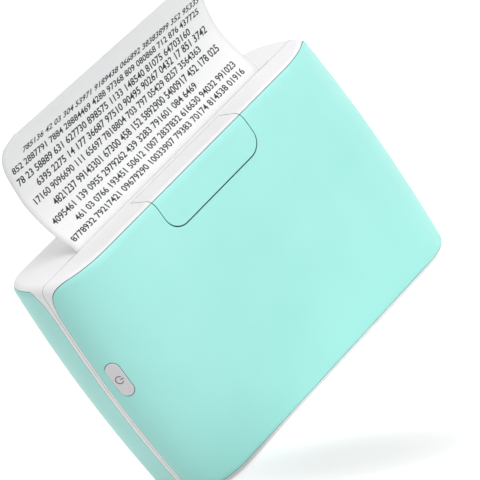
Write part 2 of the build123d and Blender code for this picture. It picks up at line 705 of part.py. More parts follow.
def make_tab_cover():
    return SKIN & FRONT_COVER_ZONE & tab_prism(0, 0)


def make_tab_lever():
    """The tab's white inner moulding, with the bar and the two arms that reach over to the catches."""
    space = tab_prism(0, 0)
    body = (SHELL & space & FRONT_SIDE) - (SKIN_SPACE & FRONT_COVER_SPACE)
    wall = INNER_FRONT_Y - FUSE
    reach = ARM_X + ARM_WALL
    web = block(-TAB_HALF + 6, TAB_HALF - 6, wall, BAR_Y + BAR_WALL, BAR_Z, BAR_Z + BAR_HEIGHT)
    bar = block(-reach, reach, BAR_Y, BAR_Y + BAR_WALL, BAR_Z, BAR_Z + BAR_HEIGHT)
    body = body + web + bar
    arm_top = ARM_Z + ARM_HEIGHT
    hook_end = HOOK_Y
    upright = block(ARM_X, reach, BAR_Y, BAR_Y + BAR_WALL, BAR_Z, arm_top)
    arm = block(ARM_X, reach, BAR_Y, hook_end, ARM_Z, arm_top)
    nose = block(ARM_X, reach, hook_end - HOOK_LENGTH, hook_end, ARM_Z - HOOK_DROP, ARM_Z + 0.1)
    for side_piece in both_sides(upright + arm + nose):
        body = body + side_piece
    for side in (-1, 1):
        rib_x = side * (TAB_HALF - 2.6)
        rib = block(rib_x - 2.2, rib_x + 2.2, wall, TAB_AXLE_Y + 1.6, TAB_AXLE_Z - 1.8, TAB_AXLE_Z + 1.8)
        body = body + rib
    return body - x_rod(-TAB_HALF, TAB_HALF, TAB_AXLE_Y, TAB_AXLE_Z, TAB_AXLE_RADIUS + RUN_CLEAR)


def make_tab_axle():
    reach = TAB_HALF + 3.0
    return x_rod(-reach, reach, TAB_AXLE_Y, TAB_AXLE_Z, TAB_AXLE_RADIUS)


def make_tab_spring():
    """A torsion spring round the axle, drawn as the tube that its turns fill."""
    tube = x_rod(-5, 5, TAB_AXLE_Y, TAB_AXLE_Z, 1.5)
    return tube - x_rod(-6, 6, TAB_AXLE_Y, TAB_AXLE_Z, TAB_AXLE_RADIUS + RUN_CLEAR)


def foot_pad(x, y, grow=0.0):
    return z_rod(0.0, FOOT_PROUD + FOOT_RECESS + grow, x, y, FOOT_RADIUS + grow)


def make_hinge_pin():
    return x_rod(-HINGE_PIN_REACH + 0.5, HINGE_PIN_REACH - 0.5, SEAM_Y, HINGE_Z, HINGE_PIN_RADIUS)


def make_back_cover():
    return SKIN & BACK_COVER_ZONE


def lid_knuckles():
    """The lid's hinge knuckles, each with the web that joins it to the floor of the lid."""
    half = KNUCKLE_LENGTH / 2
    pieces = []
    for x in KNUCKLE_STATIONS:
        pieces.append(hinge_barrel(HINGE_RADIUS, x - half, x + half))
        pieces.append(block(x - half, x + half, SEAM_Y, SEAM_Y + HINGE_RADIUS + 3, SWING_Z, INNER_BASE_Z))
    return pieces


def swing_room():
    """The groove along the lid's floor that lets it swing round the barrel."""
    return block(-CASE_WIDTH, CASE_WIDTH, SEAM_Y - 1, SEAM_Y + SWING_ROOM, CASE_BASE - 1, SWING_Z)


def platen_brackets():
    """A wall at each end of the roller that holds its bush, hung from the top wall by a column."""
    x0 = BRACKET_X
    x1 = BRACKET_X + BRACKET_WALL
    top = PLATEN_Z + 4.4
    wall = block(x0, x1, PLATEN_Y - 4.2, PLATEN_Y + 4.4, PLATEN_Z - 4.5, top)
    column = block(x0, x1, HOOK_Y + 3.2, PLATEN_Y + 4.4, top - FUSE, INNER_TOP_Z + FUSE)
    bracket = wall + column
    return both_sides(bracket)


def rail_posts():
    """Where the guide rail stands on the lid's floor."""
    return [(x, ROLL_Y) for x in (-RAIL_POST_X, RAIL_POST_X)]


def make_lid_frame():
    """The white back moulding: its shell, the slot's edge, the knuckles and the roller brackets."""
    frame = (SHELL & BACK_SIDE) - (SKIN_SPACE & BACK_COVER_SPACE)
    half = SLOT_LENGTH / 2
    frame = frame - block(-half, half, SEAM_Y - 1, SEAM_Y + SLOT_DEPTH, INNER_TOP_Z - 1, CASE_TOP + 1)
    frame = frame - hinge_barrel(HINGE_RADIUS + BODY_GAP) - swing_room()
    frame = frame + lid_knuckles()
    frame = frame - x_rod(-HINGE_PIN_REACH, HINGE_PIN_REACH, SEAM_Y, HINGE_Z, HINGE_PIN_RADIUS + RUN_CLEAR)
    frame = frame + platen_brackets()
    frame = frame - x_rod(-CASE_HALF, CASE_HALF, PLATEN_Y, PLATEN_Z, SHAFT_RADIUS + BUSH_WALL + SEAT_FIT)
    rail_low = RACK_Z - BODY_GAP - RAIL_WALL
    frame = frame + [z_rod(INNER_BASE_Z - FUSE, rail_low, x, y, BOSS_RADIUS) for x, y in rail_posts()]
    return frame - [foot_pad(side * FOOT_X, BACK_FOOT_Y, RUN_CLEAR) for side in (-1, 1)]


def make_lid_catches():
    """A steel catch on each roller bracket, just under the nose of the tab's arm."""
    top = PLATEN_Z + 4.4
    high = ARM_Z - HOOK_DROP - BODY_GAP
    front = HOOK_Y - HOOK_LENGTH - 1.3
    catch = block(BRACKET_X, BRACKET_X + BRACKET_WALL, front, front + 0.9, top, high)
    return both_sides(catch)


def make_platen_bushes():
    radius = SHAFT_RADIUS + BUSH_WALL
    bush = x_rod(BRACKET_X, BRACKET_X + BRACKET_WALL, PLATEN_Y, PLATEN_Z, radius)
    bush = bush - x_rod(BRACKET_X - 1, GEAR_X, PLATEN_Y, PLATEN_Z, SHAFT_RADIUS + RUN_CLEAR)
    return both_sides(bush)


def make_platen_rubber():
    half = PAPER_HALF + 0.2
    roller = x_rod(-half, half, PLATEN_Y, PLATEN_Z, PLATEN_RADIUS)
    return roller - x_rod(-CASE_HALF, CASE_HALF, PLATEN_Y, PLATEN_Z, SHAFT_RADIUS + SEAT_FIT)


def make_platen_shaft():
    return x_rod(-GEAR_X, GEAR_X + GEAR_WIDTH + 0.5, PLATEN_Y, PLATEN_Z, SHAFT_RADIUS)


def make_paper_roll():
    roll = x_rod(-PAPER_HALF, PAPER_HALF, ROLL_Y, ROLL_Z, ROLL_RADIUS)
    return roll - x_rod(-CASE_HALF, CASE_HALF, ROLL_Y, ROLL_Z, CORE_RADIUS)


def make_roll_core():
    core = x_rod(-PAPER_HALF, PAPER_HALF, ROLL_Y, ROLL_Z, CORE_RADIUS)
    return core - x_rod(-CASE_HALF, CASE_HALF, ROLL_Y, ROLL_Z, CORE_BORE)


# How the free end of the strip hangs at its left and right edge, as (Y, Z) offsets from the slot
STRIP_LEFT = [(0.0, 2.0), (6.4, 8.0), (10.0, 15.0), (11.7, 22.0), (11.0, 28.6), (8.0, 39.2),
              (-0.2, 46.8), (-15.0, 53.3)]
STRIP_RIGHT = [(0.0, 2.0), (3.4, 8.6), (5.8, 15.0), (6.8, 21.0), (6.3, 25.0), (3.2, 34.0),
               (-4.0, 43.0), (-17.0, 50.0)]


def offset_band(points, distance):
    """The points moved square to the line that they follow, in the (Y, Z) plane."""
    moved = []
    for index, (x, y, z) in enumerate(points):
        before = points[max(index - 1, 0)]
        after = points[min(index + 1, len(points) - 1)]
        run = math.hypot(after[1] - before[1], after[2] - before[2])
        moved.append((x, y + (after[2] - before[2]) / run * distance,
                      z - (after[1] - before[1]) / run * distance))
    return moved


def strip_wire(x, offsets):
    """One edge of the free end as a closed band, as thick as the paper."""
    points = [(x, PAPER_Y + y, CASE_TOP + z) for y, z in offsets]
    inside = offset_band(points, -PAPER_THICKNESS / 2)
    outside = offset_band(points, PAPER_THICKNESS / 2)
    near = Spline(*inside)
    far = Spline(*outside)
    return Wire([near, Line(inside[-1], outside[-1]), far, Line(outside[0], inside[0])])


def make_paper_strip():
    """The strip from the roll up past the head, and its free end curling forwards over the front."""
    half = PAPER_THICKNESS / 2
    straight = block(-PAPER_HALF, PAPER_HALF, PAPER_Y - half, PAPER_Y + half, ROLL_Z, CASE_TOP + 2.0)
    free = Solid.make_loft([strip_wire(-PAPER_HALF, STRIP_LEFT), strip_wire(PAPER_HALF, STRIP_RIGHT)], True)
    return straight + free


def make_paper_bay():
    """The curved trough under the roll, carried on ribs from the back wall."""
    inside = ROLL_RADIUS + TROUGH_CLEAR
    outside = inside + TROUGH_WALL
    ring = x_rod(-PAPER_HALF, PAPER_HALF, ROLL_Y, ROLL_Z, outside)
    ribs = [block(x - 1.2, x + 1.2, ROLL_Y + 6, INNER_BACK_Y, ROLL_Z - 20, ROLL_Z - 9.5)
            for x in TROUGH_RIBS]
    trough = ring & block(-CASE_HALF, CASE_HALF, SEAM_Y + 2.5, INNER_BACK_Y, ROLL_Z - 30, ROLL_Z - 9)
    trough = trough + ribs
    return trough - x_rod(-CASE_HALF, CASE_HALF, ROLL_Y, ROLL_Z, inside)


def rack_outline(length, side):
    """A rack's plan view, its teeth facing the pinion, from the guide to past the pinion."""
    pitch = math.pi * GEAR_MODULE
    line = RACK_PITCH_RADIUS + GEAR_PLAY
    tip = line - 0.9 * GEAR_MODULE
    root = line + 1.25 * GEAR_MODULE
    back = root + RACK_DEPTH - 0.5
    slope = math.tan(PRESSURE_ANGLE)
    thick = pitch / 4 - TOOTH_PLAY / 2
    count = int(RACK_REACH // pitch)
    points = [(-length, back), (-length, root)]
    for index in range(-count, count + 1):
        centre = (index + 0.5) * pitch
        wide = thick + (root - line) * slope
        narrow = thick - (line - tip) * slope
        points += [(centre - wide, root), (centre - narrow, tip), (centre + narrow, tip), (centre + wide, root)]
    end = (count + 1.2) * pitch
    points += [(end, root), (end, back)]
    face = make_face(Polyline(*points, close=True))
    return face if side < 0 else Rot(0, 0, 180) * face


def make_guide(side):
    """A paper guide: the plate with its hub in the core, the leg and the rack under the trough."""
    x0 = side * GUIDE_X
    x1 = side * (GUIDE_X + GUIDE_WALL)
    plate = x_rod(x0, x1, ROLL_Y, ROLL_Z, GUIDE_RADIUS)
    leg = block(x0, x1, ROLL_Y - 6.0, ROLL_Y + 6.0, RACK_Z, ROLL_Z)
    hub = x_rod(x0 - side * HUB_LENGTH, x0 + side * 0.5, ROLL_Y, ROLL_Z, HUB_RADIUS)
    rack_face = Pos(0, ROLL_Y, RACK_Z) * rack_outline(GUIDE_X + GUIDE_WALL / 2, side)
    rack = extrude(rack_face, RACK_HEIGHT, dir=(0, 0, 1))
    return plate + leg + hub + rack


def make_guide_pinion():
    face = Pos(0, ROLL_Y, RACK_Z) * gear_outline(RACK_TEETH, math.pi / 2)
    gear = extrude(face, RACK_HEIGHT, dir=(0, 0, 1))
    return gear - z_rod(RACK_Z - 1, RACK_Z + RACK_HEIGHT + 1, 0, ROLL_Y, 1.0 + RUN_CLEAR)


def make_guide_rail():
    """The plate that the racks slide over, with the pinion's post."""
    high = RACK_Z - BODY_GAP
    low = high - RAIL_WALL
    plate = block(-RAIL_HALF, RAIL_HALF, ROLL_Y - 7.5, ROLL_Y + 7.5, low, high)
    post = z_rod(low, RACK_Z + RACK_HEIGHT + 0.5, 0, ROLL_Y, 1.0)
    return plate + post


def build():
    save("front_cover", make_front_cover())
    save("front_frame", make_front_frame())
    save("tear_bar", make_tear_bar())
    save("inner_panel", make_inner_panel())
    save("panel_screws", *[screw(x, z, PANEL_Y + PANEL_WALL, 6.0) & y_rod(-30, SEAM_Y - 0.3, x, z, 3)
                           for x, z in PANEL_POSTS])
    save("main_pcb", make_main_pcb())
    save("board_components", *make_board_components())
    save("battery", make_battery())
    save("battery_pad", make_battery_pad())
    save("usb_port", make_usb_port())
    save("usb_board", make_usb_board())
    save("button_board", make_button_board())
    save("button_switch", make_button_switch())
    save("power_button", make_power_button())
    save("motor", make_motor())
    save("motor_shaft", make_motor_shaft())
    save("gear_plate", make_gear_plate())
    names = ("platen_gear", "upper_idler", "lower_idler", "motor_pinion")
    post_bore = GEAR_POST_RADIUS + RUN_CLEAR
    bores = (SHAFT_RADIUS + SEAT_FIT, post_bore, post_bore, MOTOR_SHAFT_RADIUS + SEAT_FIT)
    for name, bore, (y, z, teeth, phase) in zip(names, bores, GEARS):
        save(name, feed_gear(teeth, phase, y, z, bore))
    save("head_heatsink", make_heatsink())
    save("head_ceramic", make_head_ceramic())
    save("head_pivot_pin", make_head_pin())
    save("head_support", make_head_support())
    save("head_springs", *make_head_springs())
    save("paper_sensor", make_paper_sensor())
    save("tab_cover", make_tab_cover())
    save("tab_lever", make_tab_lever())
    save("tab_axle", make_tab_axle())
    save("tab_spring", make_tab_spring())
    save("front_feet", *[foot_pad(side * FOOT_X, FRONT_FOOT_Y) for side in (-1, 1)])
    save("back_feet", *[foot_pad(side * FOOT_X, BACK_FOOT_Y) for side in (-1, 1)])
    save("hinge_pin", make_hinge_pin())
    save("back_cover", make_back_cover())
    save("lid_frame", make_lid_frame())
    save("lid_catches", *make_lid_catches())
    save("platen_bushes", *make_platen_bushes())
    save("platen_rubber", make_platen_rubber())
    save("platen_shaft", make_platen_shaft())
    save("paper_roll", make_paper_roll())
    save("roll_core", make_roll_core())
    save("paper_strip", make_paper_strip())
    save("paper_bay", make_paper_bay())
    save("guide_left", make_guide(-1))
    save("guide_right", make_guide(1))
    save("guide_pinion", make_guide_pinion())
    save("guide_rail", make_guide_rail())


build()
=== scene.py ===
"""The look of the portable label printer: finishes for every CAD node, the printed paper strip, the
button's symbol, the wound springs, and the studio that shows them.

Everything is in metres unless a comment says millimetres, in the CAD's frame: X to the right, Y to the
back, Z up.
"""

import math
import random

import bpy
from mathutils import Matrix, Vector


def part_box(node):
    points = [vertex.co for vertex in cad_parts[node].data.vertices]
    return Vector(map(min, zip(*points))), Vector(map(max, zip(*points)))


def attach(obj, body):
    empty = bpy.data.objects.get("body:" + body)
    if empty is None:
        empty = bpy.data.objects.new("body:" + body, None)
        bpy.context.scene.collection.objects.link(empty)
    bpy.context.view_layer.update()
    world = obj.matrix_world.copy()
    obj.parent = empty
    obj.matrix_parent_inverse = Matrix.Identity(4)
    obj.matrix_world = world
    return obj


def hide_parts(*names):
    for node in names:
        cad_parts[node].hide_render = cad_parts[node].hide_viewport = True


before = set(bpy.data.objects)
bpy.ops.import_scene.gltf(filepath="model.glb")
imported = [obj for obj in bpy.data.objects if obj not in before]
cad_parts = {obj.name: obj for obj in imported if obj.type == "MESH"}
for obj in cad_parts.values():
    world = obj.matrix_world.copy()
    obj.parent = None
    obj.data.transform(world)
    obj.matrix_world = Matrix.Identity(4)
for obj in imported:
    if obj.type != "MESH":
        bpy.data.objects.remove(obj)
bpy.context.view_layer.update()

MM = 0.001

# The photograph's camera
CAMERA_PLACE = (-0.5591, -1.0327, 0.4688)
CAMERA_RIGHT = (0.61906, -0.56047, -0.55012)
CAMERA_UP = (0.64069, -0.04468, 0.7665)
CAMERA_BACK = (-0.45417, -0.82697, 0.33143)
CAMERA_LENS = 248.75
SENSOR_WIDTH = 36.0

# The free end of the paper at its left and right edges, as (Y, Z) distances in millimetres from the slot,
# level with the top of the case
STRIP_LEFT = [(0.0, 2.0), (6.4, 8.0), (10.0, 15.0), (11.7, 22.0), (11.0, 28.6), (8.0, 39.2),
              (-0.2, 46.8), (-15.0, 53.3)]
STRIP_RIGHT = [(0.0, 2.0), (3.4, 8.6), (5.8, 15.0), (6.8, 21.0), (6.3, 25.0), (3.2, 34.0),
               (-4.0, 43.0), (-17.0, 50.0)]

# The sheet's mesh, with its rows along the free end and along the straight part below it. The paper's plane
# stands off from the roll, and the step is a short share of the free end, for slopes.
SHEET_COLUMNS = 36
SHEET_ROWS = 72
STRAIGHT_ROWS = 10
SHEET_THICKNESS = 0.1 * MM
STRIP_STANDOFF = 0.4 * MM
SHEET_STEP = 0.002

# The printed rows: where each starts and ends across the sheet, in millimetres, from the slot upwards
ROW_SPANS = [(2.5, 102.0), (10.7, 101.7), (3.6, 84.2), (9.6, 101.7), (3.6, 95.6), (9.3, 102.4),
             (2.5, 95.6), (2.9, 102.7), (10.0, 104.5)]

# The first row and the pitch at both edges, as shares of the free end's length
ROW_FIRST = 0.02
ROW_PITCH_LEFT = 0.0735
ROW_PITCH_RIGHT = 0.0705

# The digits, in millimetres, with their weight and slant as shares of the font size
DIGIT_HEIGHT = 2.7
CHARACTER_WIDTH = 1.6
INK_LIFT = 0.07
DIGIT_WEIGHT = 0.020
TITLE_SLANT = 0.25
WORD_SIZES = (2, 3, 3, 4, 5, 5, 6, 7, 8)
PRINT_SEED = 11

# The mark on the power button, in millimetres, and the way that the button faces
BUTTON_OUTWARDS = (-0.8215, -0.5702, 0.0)
SYMBOL_RADIUS = 1.5
SYMBOL_LINE = 0.19
SYMBOL_GAP = math.radians(38)
SYMBOL_BAR = (0.35, 1.9)
SYMBOL_STEPS = 40
SYMBOL_LIFT = 0.03

# The wound springs
HEAD_WIRE = 0.22 * MM
HEAD_TURNS = 3
TAB_WIRE = 0.25 * MM
TAB_TURNS = 12
STEPS_PER_TURN = 20

# The floor: half its width, its tints and how much plain white the camera sees on it
FLOOR_HALF = 4.0
FLOOR_TINTS = ((243, 243, 243), (246, 246, 246))
FLOOR_WHITE = 0.85

# A painted soft shadow on the floor before the printer, darkening the floor's colour: its centre, turn,
# half widths and depth
SHADE_PLACE = (-0.052, -0.080, 0.0)
SHADE_TURN = math.radians(8)
SHADE_SIZE = (0.042, 0.200, 1.0)
SHADE_DEPTH = 0.48

# The studio's light: the world, then each lamp's name, place, aim, width and power
WORLD_LIGHT = 0.48
WORLD_WHITE = 0.55
MIDDLE = (0.0, 0.0, 0.06)
LAMPS = [
    ("key_light", (0.4, -1.15, 1.55), MIDDLE, 1.1, 15.2),
    ("top_light", (0.1, 0.1, 1.8), MIDDLE, 1.4, 6.0),
    ("low_light", (0.35, -1.5, 0.12), (0.0, 0.0, 0.03), 0.5, 3.6),
    ("left_light", (-1.6, -0.5, 0.9), MIDDLE, 1.0, 0.6),
]

# The colours of the case, each with the deeper tint that it changes to
MINT = (168, 236, 228)
MINT_DEEP = (161, 231, 222)
WHITE = (248, 247, 248)
WHITE_DEEP = (242, 241, 243)

# Painted shade in the gaps between mouldings, darkening the plastic's colour where another wall stands
# near: its colours, how near the other wall has to be, and how open the darkest and the clear places are
MINT_GAP_PAINTED_SHADE = (4, 84, 70)
WHITE_GAP_PAINTED_SHADE = (126, 134, 136)
GAP_REACH = 0.9 * MM
GAP_DARK = 0.25
GAP_CLEAR = 0.62
GAP_SAMPLES = 12

# The fine spark-eroded grain of moulded plastic: noise scale and bump depth
GRAIN = 2600.0
GRAIN_DEPTH = 0.012 * MM

# The sockets of a colour mix node, which share their names with its other sockets
MIX_SHARE, MIX_FIRST, MIX_SECOND, MIX_RESULT = 0, 6, 7, 2


def linear(colour):
    """An sRGB colour, 0 to 255, as linear RGBA."""
    values = []
    for part in colour:
        c = part / 255
        values.append(c / 12.92 if c <= 0.04045 else ((c + 0.055) / 1.055) ** 2.4)
    return (*values, 1.0)


class Nodes:
    """A short way to build a material's node tree."""

    def __init__(self, name):
        self.material = bpy.data.materials.new(name)
        self.material.use_nodes = True
        self.tree = self.material.node_tree
        self.shader = self.tree.nodes["Principled BSDF"]
        self.coords = self.add("ShaderNodeTexCoord")

    def add(self, kind, **values):
        node = self.tree.nodes.new(kind)
        for key, value in values.items():
            setattr(node, key, value)
        return node

    def link(self, out_socket, in_socket):
        self.tree.links.new(out_socket, in_socket)

    def noise(self, scale, detail=2.0, stretch=None):
        node = self.add("ShaderNodeTexNoise")
        node.inputs["Scale"].default_value = scale
        node.inputs["Detail"].default_value = detail
        source = self.coords.outputs["Object"]
        if stretch:
            mapping = self.add("ShaderNodeMapping")
            mapping.inputs["Scale"].default_value = stretch
            self.link(source, mapping.inputs["Vector"])
            source = mapping.outputs["Vector"]
        self.link(source, node.inputs["Vector"])
        return node.outputs["Fac"]

    def ramp(self, source, low, high, first=0.3, last=0.7):
        """The source turned into a colour between two colours."""
        node = self.add("ShaderNodeValToRGB")
        node.color_ramp.elements[0].position = first
        node.color_ramp.elements[1].position = last
        node.color_ramp.elements[0].color = low
        node.color_ramp.elements[1].color = high
        self.link(source, node.inputs["Fac"])
        return node.outputs["Color"]

    def spread(self, source, low, high):
        """The source turned into a number between two numbers."""
        node = self.add("ShaderNodeMapRange")
        node.inputs["To Min"].default_value = low
        node.inputs["To Max"].default_value = high
        self.link(source, node.inputs["Value"])
        return node.outputs["Result"]

    def mix(self, share, first, second):
        """A blend of two colours. Each is a colour or a socket, and a share of 1 is all second."""
        node = self.add("ShaderNodeMix", data_type="RGBA")
        self.link(share, node.inputs[MIX_SHARE])
        for place, colour in ((MIX_FIRST, first), (MIX_SECOND, second)):
            if isinstance(colour, tuple):
                node.inputs[place].default_value = colour
            else:
                self.link(colour, node.inputs[place])
        return node.outputs[MIX_RESULT]

    def bump(self, source, distance, strength=1.0, under=None):
        node = self.add("ShaderNodeBump")
        node.inputs["Distance"].default_value = distance
        node.inputs["Strength"].default_value = strength
        self.link(source, node.inputs["Height"])
        if under is not None:
            self.link(under, node.inputs["Normal"])
        return node.outputs["Normal"]

    def set(self, **values):
        for key, value in values.items():
            self.shader.inputs[key.replace("_", " ")].default_value = value

    def feed(self, **sources):
        for key, source in sources.items():
            self.link(source, self.shader.inputs[key.replace("_", " ")])


def painted_gap_shade(n, tint, shade):
    """The tint, with painted shade darkening it where two mouldings stand close to each other."""
    open_sky = n.add("ShaderNodeAmbientOcclusion", samples=GAP_SAMPLES)
    open_sky.inputs["Distance"].default_value = GAP_REACH
    clear = n.spread(open_sky.outputs["AO"], 0.0, 1.0)
    clear.node.inputs["From Min"].default_value = GAP_DARK
    clear.node.inputs["From Max"].default_value = GAP_CLEAR
    return n.mix(clear, linear(shade), tint)


def moulded(name, colour, deep, roughness, grain=GRAIN, depth=GRAIN_DEPTH, shade=None):
    """Moulded plastic: a fine spark-eroded grain over slow changes of tint and gloss."""
    n = Nodes(name)
    tint = n.ramp(n.noise(22.0, 3.0), linear(deep), linear(colour))
    # Painted shade: the colour darkens in the narrow gaps between mouldings.
    if shade:
        tint = painted_gap_shade(n, tint, shade)
    gloss = n.spread(n.noise(60.0, 4.0), roughness - 0.04, roughness + 0.05)
    flow = n.bump(n.noise(9.0, 1.0), 0.06 * MM, 0.5)
    n.feed(Base_Color=tint, Roughness=gloss, Normal=n.bump(n.noise(grain, 3.0), depth, 0.6, flow))
    n.set(IOR=1.49)
    return n.material


def metal(name, colour, roughness=0.32, stretch=(40.0, 900.0, 900.0)):
    """Plated or brushed metal, its marks drawn out along one way."""
    n = Nodes(name)
    marks = n.noise(1.0, 5.0, stretch)
    deep = tuple(int(part * 0.86) for part in colour)
    n.feed(Base_Color=n.ramp(marks, linear(deep), linear(colour)),
           Roughness=n.spread(marks, roughness - 0.08, roughness + 0.12),
           Normal=n.bump(marks, 0.008 * MM, 0.5))
    n.set(Metallic=1.0)
    return n.material


def rubber(name, colour):
    """Dull silicone or foam, mottled a little."""
    n = Nodes(name)
    deep = tuple(int(part * 0.8) for part in colour)
    n.feed(Base_Color=n.ramp(n.noise(300.0, 4.0), linear(deep), linear(colour)),
           Roughness=n.spread(n.noise(900.0), 0.62, 0.8),
           Normal=n.bump(n.noise(3000.0), 0.01 * MM, 0.5))
    return n.material


def paper(name, colour, deep):
    """Smooth coated paper with a faint fibre and slow waves."""
    n = Nodes(name)
    fibre = n.noise(1.0, 6.0, (900.0, 2600.0, 2600.0))
    waves = n.bump(n.noise(18.0, 1.0), 0.2 * MM, 0.35)
    n.feed(Base_Color=n.ramp(fibre, linear(deep), linear(colour)),
           Roughness=n.spread(fibre, 0.48, 0.62), Normal=n.bump(fibre, 0.006 * MM, 0.5, waves))
    return n.material


def wound_paper(name, centre_y, centre_z):
    """The roll: plain round its outside, with its turns showing as fine rings on its ends."""
    n = Nodes(name)
    mapping = n.add("ShaderNodeMapping")
    mapping.inputs["Location"].default_value = (0.0, -centre_y, -centre_z)
    mapping.inputs["Scale"].default_value = (0.0, 1.0, 1.0)
    n.link(n.coords.outputs["Object"], mapping.inputs["Vector"])
    length = n.add("ShaderNodeVectorMath", operation="LENGTH")
    n.link(mapping.outputs["Vector"], length.inputs[0])
    ring = n.add("ShaderNodeTexNoise", noise_dimensions="1D")
    ring.inputs["Scale"].default_value = 4200.0
    ring.inputs["Detail"].default_value = 3.0
    n.link(length.outputs["Value"], ring.inputs["W"])
    fac = ring.outputs["Fac"]
    n.feed(Base_Color=n.ramp(fac, linear((206, 205, 202)), linear((245, 244, 242))),
           Roughness=n.spread(fac, 0.6, 0.8), Normal=n.bump(fac, 0.03 * MM, 0.6))
    return n.material


def circuit_board(name):
    """Green solder mask over copper: broad pours with finer tracks between them."""
    n = Nodes(name)
    cells = n.add("ShaderNodeTexVoronoi", distance="MANHATTAN", feature="F1")
    cells.inputs["Scale"].default_value = 260.0
    n.link(n.coords.outputs["Object"], cells.inputs["Vector"])
    tracks = n.add("ShaderNodeTexBrick")
    tracks.inputs["Scale"].default_value = 420.0
    tracks.inputs["Mortar Size"].default_value = 0.03
    n.link(n.coords.outputs["Object"], tracks.inputs["Vector"])
    pour = n.ramp(cells.outputs["Distance"], linear((10, 74, 44)), linear((22, 104, 62)), 0.2, 0.5)
    n.feed(Base_Color=n.mix(tracks.outputs["Fac"], pour, linear((40, 128, 78))),
           Roughness=n.spread(n.noise(400.0), 0.28, 0.4),
           Normal=n.bump(tracks.outputs["Fac"], 0.03 * MM, 0.4))
    return n.material


def ink(name, colour):
    """Print whose darkness varies a little."""
    n = Nodes(name)
    deep = tuple(int(part * 0.6) for part in colour)
    n.feed(Base_Color=n.ramp(n.noise(1800.0, 4.0), linear(deep), linear(colour)),
           Roughness=n.spread(n.noise(700.0), 0.5, 0.65))
    return n.material


# The mint, white and button plastics carry painted shade in their gaps.
FINISHES = {
    "mint": moulded("mint_plastic", MINT, MINT_DEEP, 0.42, shade=MINT_GAP_PAINTED_SHADE),
    "white": moulded("white_plastic", WHITE, WHITE_DEEP, 0.40, shade=WHITE_GAP_PAINTED_SHADE),
    "button": moulded("button_plastic", (222, 218, 221), (214, 210, 214), 0.38, shade=MINT_GAP_PAINTED_SHADE),
    "inner": moulded("inner_plastic", (232, 232, 233), (224, 224, 226), 0.55),
    "guide": moulded("guide_plastic", (150, 155, 160), (138, 143, 149), 0.5),
    "acetal": moulded("acetal_plastic", (238, 234, 222), (229, 225, 211), 0.45),
    "dark": moulded("dark_plastic", (38, 38, 41), (28, 28, 31), 0.5),
    "steel": metal("plated_steel", (178, 181, 186)),
    "aluminium": metal("milled_aluminium", (205, 207, 210), 0.36, (30.0, 1400.0, 60.0)),
    "brass": metal("turned_brass", (214, 176, 98), 0.28),
    "platen": rubber("platen_silicone", (46, 46, 48)),
    "foot": rubber("foot_silicone", (190, 191, 193)),
    "foam": rubber("pad_foam", (56, 56, 58)),
    "ceramic": moulded("head_glaze", (196, 180, 152), (182, 166, 138), 0.16),
    "foil": metal("battery_foil", (196, 198, 202), 0.3, (120.0, 160.0, 140.0)),
    "card": moulded("core_card", (168, 138, 104), (150, 120, 88), 0.8, 900.0, 0.04 * MM),
    "board": circuit_board("solder_mask"),
    "paper": paper("thermal_paper", (246, 246, 246), (241, 241, 242)),
    "ink": ink("print_ink", (34, 34, 36)),
    "symbol": ink("symbol_ink", (118, 112, 118)),
}

NODE_FINISH = {
    "mint": ["front_cover", "tab_cover", "back_cover"],
    "white": ["front_frame", "lid_frame", "tab_lever"],
    "button": ["power_button"],
    "inner": ["inner_panel", "paper_bay", "guide_rail"],
    "guide": ["guide_left", "guide_right"],
    "acetal": ["guide_pinion", "platen_gear", "upper_idler", "lower_idler"],
    "dark": ["platen_bushes", "board_components", "button_switch", "paper_sensor"],
    "steel": ["tear_bar", "panel_screws", "usb_port", "motor", "motor_shaft", "gear_plate", "head_support",
              "head_pivot_pin", "tab_axle", "hinge_pin", "lid_catches", "platen_shaft"],
    "aluminium": ["head_heatsink"],
    "brass": ["motor_pinion"],
    "platen": ["platen_rubber"],
    "foot": ["front_feet", "back_feet"],
    "foam": ["battery_pad"],
    "ceramic": ["head_ceramic"],
    "foil": ["battery"],
    "card": ["roll_core"],
    "board": ["main_pcb", "button_board", "usb_board"],
}


def dress(obj, material):
    obj.data.materials.clear()
    obj.data.materials.append(material)


def dress_nodes():
    """Every visible CAD node's finish. The roll's rings need its centre."""
    for finish, names in NODE_FINISH.items():
        for name in names:
            dress(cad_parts[name], FINISHES[finish])
    low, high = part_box("paper_roll")
    rings = wound_paper("roll_paper", (low[1] + high[1]) / 2, (low[2] + high[2]) / 2)
    dress(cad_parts["paper_roll"], rings)


def mesh_piece(name, points, faces, material, body, smooth=True):
    """A new mesh object that rides on a CAD body."""
    mesh = bpy.data.meshes.new(name)
    mesh.from_pydata([tuple(p) for p in points], [], faces)
    mesh.validate()
    mesh.polygons.foreach_set("use_smooth", [smooth] * len(mesh.polygons))
    obj = bpy.data.objects.new(name, mesh)
    bpy.context.scene.collection.objects.link(obj)
    dress(obj, material)
    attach(obj, body)
    return obj


def smooth_path(points, place):
    """A point a share of the way along a Catmull-Rom path through the points, by their chords."""
    lengths = [0.0]
    for a, b in zip(points, points[1:]):
        lengths.append(lengths[-1] + (b - a).length)
    target = place * lengths[-1]
    index = max(i for i in range(len(points) - 1) if lengths[i] <= target or i == 0)
    a, b = points[index], points[index + 1]
    before = points[index - 1] if index else a * 2 - b
    after = points[index + 2] if index + 2 < len(points) else b * 2 - a
    t = (target - lengths[index]) / (lengths[index + 1] - lengths[index])
    m0 = (b - before) / 2
    m1 = (after - a) / 2
    return (a * (2 * t**3 - 3 * t**2 + 1) + m0 * (t**3 - 2 * t**2 + t)
            + b * (-2 * t**3 + 3 * t**2) + m1 * (t**3 - t**2))


